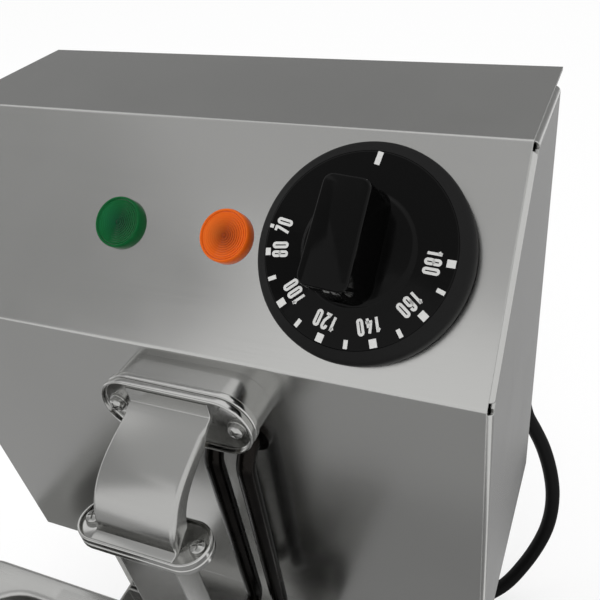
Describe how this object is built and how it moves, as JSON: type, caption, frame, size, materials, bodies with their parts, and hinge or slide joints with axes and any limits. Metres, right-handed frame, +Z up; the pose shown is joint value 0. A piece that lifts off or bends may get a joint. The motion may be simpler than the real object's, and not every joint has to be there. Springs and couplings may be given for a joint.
{
  "type": "donut maker",
  "caption": "Table-top electric donut fryer: oil tank in a steel casing, lift-out wire rack, and a clip-on control head with thermostat knob, lamps, neck and heater.",
  "frame": {"origin": "bottom centre of the machine, on the table under its feet; the free mains cord is not counted", "axes": "+Z up; -Y to the front, where the user stands; +X to the right of the user"},
  "size_m": [0.392, 0.5467, 0.3887],
  "materials": {
    "satin_stainless": "satin",
    "steel_rod": "electropolished",
    "plated_screw": "semi-gloss",
    "heater_sheath": "oxidised by heat",
    "brass": "machined",
    "copper": "drawn",
    "black_phenolic": "satin moulded",
    "tan_phenolic": "matte",
    "green_lens": "translucent",
    "orange_lens": "translucent",
    "white_plastic": "matte",
    "grey_plastic": "matte",
    "red_plastic": "gloss",
    "wire_insulation": "matte",
    "rubber": "matte"
  },
  "bodies": {
    "base": {"casing": "satin_stainless", "base_plate": "satin_stainless", "rubber_feet": "rubber", "oil_tank": "satin_stainless", "carry_handle_left": "black_phenolic", "carry_handle_right": "black_phenolic", "handle_screws": "plated_screw", "guide_left": "satin_stainless", "guide_right": "satin_stainless", "guide_rivets": "plated_screw"},
    "head": {"head_wrap": "satin_stainless", "side_panel_left": "satin_stainless", "side_panel_right": "satin_stainless", "rear_cover": "satin_stainless", "bottom_plate": "satin_stainless", "head_bracket": "satin_stainless", "bracket_screws": "plated_screw", "cover_screws": "plated_screw", "green_lamp_lens": "green_lens", "orange_lamp_lens": "orange_lens", "green_lamp_body": "white_plastic", "orange_lamp_body": "white_plastic", "thermostat_body": "tan_phenolic", "thermostat_bush": "brass", "thermostat_screws": "plated_screw", "cutout_body": "tan_phenolic", "cutout_collar": "black_phenolic", "terminal_block": "white_plastic", "contactor": "grey_plastic", "wiring": "wire_insulation", "neck_duct": "satin_stainless", "upper_clamp_rear": "satin_stainless", "upper_clamp_front": "satin_stainless", "upper_clamp_screws": "plated_screw", "neck_cover": "satin_stainless", "lower_clamp_top": "satin_stainless", "lower_clamp_bottom": "satin_stainless", "lower_clamp_screws": "plated_screw", "sensor_channel": "satin_stainless", "thermostat_sensor": "copper", "cutout_sensor": "copper", "heater_element": "heater_sheath", "heater_glands": "heater_sheath", "heater_guard": "steel_rod", "guard_clips": "steel_rod", "strain_relief": "rubber", "cord_tube": "rubber", "cord_coil": "rubber", "cord_tail": "rubber", "plug_body": "rubber", "plug_pins": "plated_screw"},
    "knob": {"knob_dial": "black_phenolic", "knob_grip": "black_phenolic", "knob_shaft": "brass"},
    "reset_button": {"reset_button": "red_plastic"},
    "rack": {"fry_rack": "steel_rod", "rack_handle_left": "steel_rod", "rack_handle_right": "steel_rod"}
  },
  "joints": [
    {"name": "head_lift", "type": "slide", "parent": "base", "child": "head", "axis": [0, 0, 1], "range_m": [0, 0.14]},
    {"name": "knob_turn", "type": "hinge", "parent": "head", "child": "knob", "pos_m": [0.069, 0.147, 0.3565], "axis": [0, -0.7071, 0.7071], "range_deg": [-268, 0]},
    {"name": "reset_press", "type": "slide", "parent": "head", "child": "reset_button", "axis": [0, -1, 0], "range_m": [0, 0.002], "stiffness_N_per_m": 300, "springref_m": -0.002},
    {"name": "rack_lift", "type": "slide", "parent": "head", "child": "rack", "axis": [0, 0, 1], "range_m": [0, 0.12]}
  ]
}
